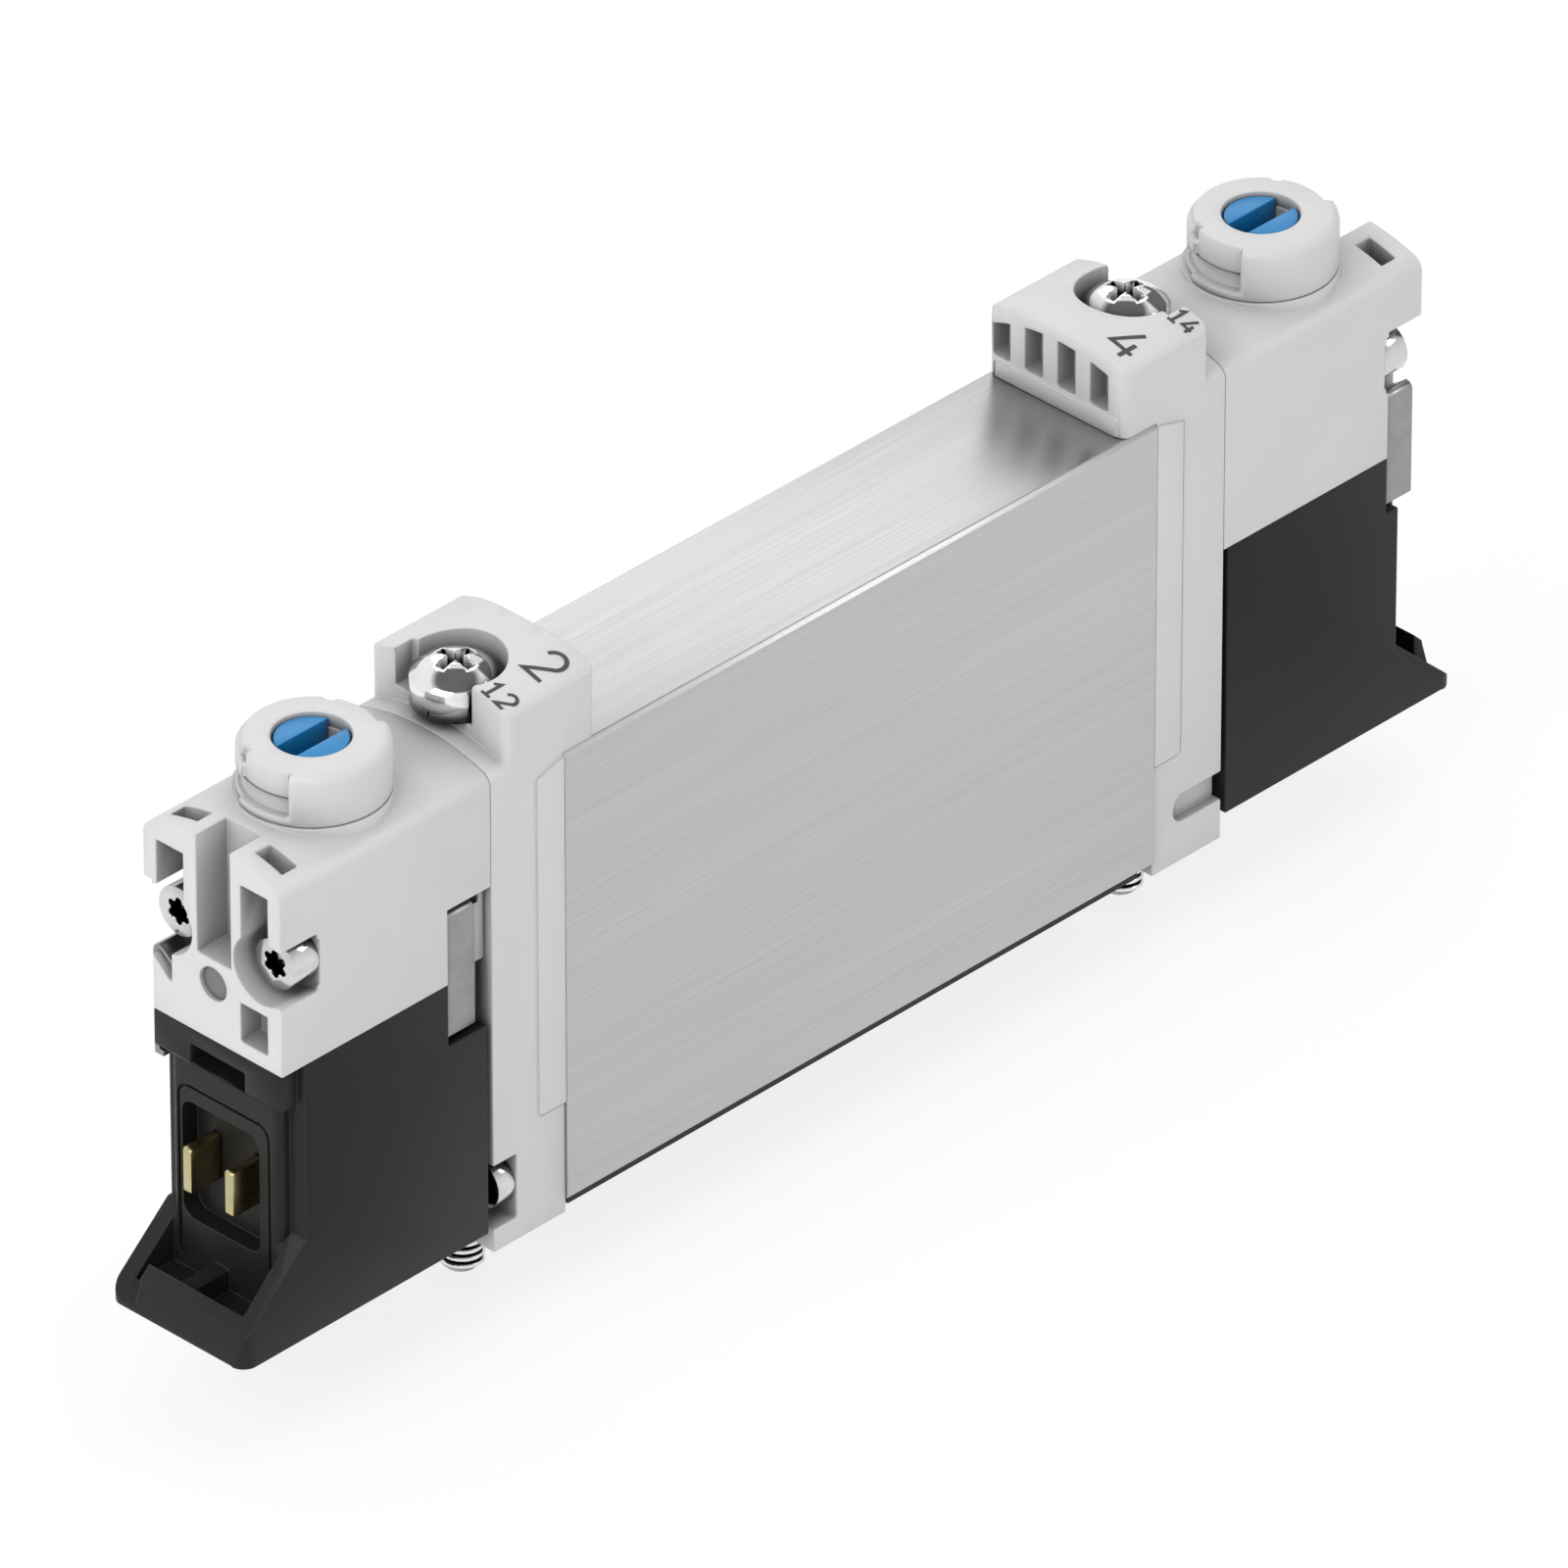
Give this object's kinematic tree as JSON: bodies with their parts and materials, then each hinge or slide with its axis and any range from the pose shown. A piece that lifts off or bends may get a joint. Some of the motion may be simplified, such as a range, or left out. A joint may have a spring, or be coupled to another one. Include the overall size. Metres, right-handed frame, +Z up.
{
  "type": "pneumatic solenoid valve",
  "caption": "Narrow double-solenoid spool valve for a sub-base, with a screwed end cover, pilot, plug-in coil and slotted manual override at each end.",
  "frame": {"origin": "mouth of port 1, in the middle of the body's mounting face", "axes": "+X along the valve from the 12 end to the 14 end, +Z up, out of the mounting face"},
  "size_m": [0.0896, 0.01, 0.037],
  "materials": {
    "body_aluminium": "brushed",
    "grey_plastic": "satin",
    "black_plastic": "satin",
    "plunger_blue": "satin",
    "lens_grey": "smooth",
    "screw_steel": "polished",
    "clip_steel": "satin",
    "contact_gold": "plated",
    "seal_rubber": "matt",
    "spool_metal": "ground",
    "piston_plastic": "satin",
    "bobbin_plastic": "satin",
    "winding_copper": "enamelled wire",
    "magnet_steel": "turned",
    "tube_steel": "drawn",
    "spring_steel": "drawn wire"
  },
  "bodies": {
    "valve_body": {"body_block": "body_aluminium", "spool_seals": "seal_rubber", "base_gasket": "seal_rubber", "cover_12": "grey_plastic", "cover_14": "grey_plastic", "cover_gasket_12": "seal_rubber", "cover_gasket_14": "seal_rubber", "cover_screws_12": "screw_steel", "cover_screws_14": "screw_steel", "mounting_screw_12": "screw_steel", "mounting_screw_14": "screw_steel", "pilot_housing_12": "grey_plastic", "pilot_housing_14": "grey_plastic", "pilot_seals_12": "seal_rubber", "pilot_seals_14": "seal_rubber", "coil_housing_12": "black_plastic", "coil_housing_14": "black_plastic", "bobbin_12": "bobbin_plastic", "bobbin_14": "bobbin_plastic", "winding_12": "winding_copper", "winding_14": "winding_copper", "yoke_12": "magnet_steel", "yoke_14": "magnet_steel", "fixed_core_12": "magnet_steel", "fixed_core_14": "magnet_steel", "guide_tube_12": "tube_steel", "guide_tube_14": "tube_steel", "armature_spring_12": "spring_steel", "armature_spring_14": "spring_steel", "contact_blades_12": "contact_gold", "contact_blades_14": "contact_gold", "indicator_lens_12": "lens_grey", "indicator_lens_14": "lens_grey", "pilot_screws_12": "screw_steel", "pilot_screws_14": "screw_steel", "clips_12": "clip_steel", "clips_14": "clip_steel", "override_ring_12": "grey_plastic", "override_ring_14": "grey_plastic", "override_spring_12": "spring_steel", "override_spring_14": "spring_steel"},
    "spool": {"spool": "spool_metal", "piston_12": "piston_plastic", "piston_14": "piston_plastic", "piston_seals": "seal_rubber"},
    "armature_12": {"armature_12": "magnet_steel", "poppet_seal_12": "seal_rubber"},
    "override_carrier_12": {"override_seal_12": "seal_rubber"},
    "override_plunger_12": {"override_plunger_12": "plunger_blue"},
    "armature_14": {"armature_14": "magnet_steel", "poppet_seal_14": "seal_rubber"},
    "override_carrier_14": {"override_seal_14": "seal_rubber"},
    "override_plunger_14": {"override_plunger_14": "plunger_blue"}
  },
  "joints": [
    {"name": "spool_slide", "type": "slide", "parent": "valve_body", "child": "spool", "axis": [1, 0, 0], "range_m": [0, 0.0024]},
    {"name": "armature_slide_12", "type": "slide", "parent": "valve_body", "child": "armature_12", "axis": [0, 0, -1], "range_m": [0, 0.0006], "stiffness_N_per_m": 1000, "springref_m": -0.0005, "deforming": ["armature_spring_12"]},
    {"name": "override_press_12", "type": "slide", "parent": "valve_body", "child": "override_carrier_12", "axis": [0, 0, -1], "range_m": [0, 0.0008], "stiffness_N_per_m": 1500, "springref_m": -0.0005, "deforming": ["override_spring_12"]},
    {"name": "override_turn_12", "type": "hinge", "parent": "override_carrier_12", "child": "override_plunger_12", "pos_m": [-0.03465, 0, 0.03], "axis": [0, 0, 1], "range_deg": [0, 90]},
    {"name": "armature_slide_14", "type": "slide", "parent": "valve_body", "child": "armature_14", "axis": [0, 0, -1], "range_m": [0, 0.0006], "stiffness_N_per_m": 1000, "springref_m": -0.0005, "deforming": ["armature_spring_14"]},
    {"name": "override_press_14", "type": "slide", "parent": "valve_body", "child": "override_carrier_14", "axis": [0, 0, -1], "range_m": [0, 0.0008], "stiffness_N_per_m": 1500, "springref_m": -0.0005, "deforming": ["override_spring_14"]},
    {"name": "override_turn_14", "type": "hinge", "parent": "override_carrier_14", "child": "override_plunger_14", "pos_m": [0.03465, 0, 0.03], "axis": [0, 0, 1], "range_deg": [0, 90]}
  ]
}
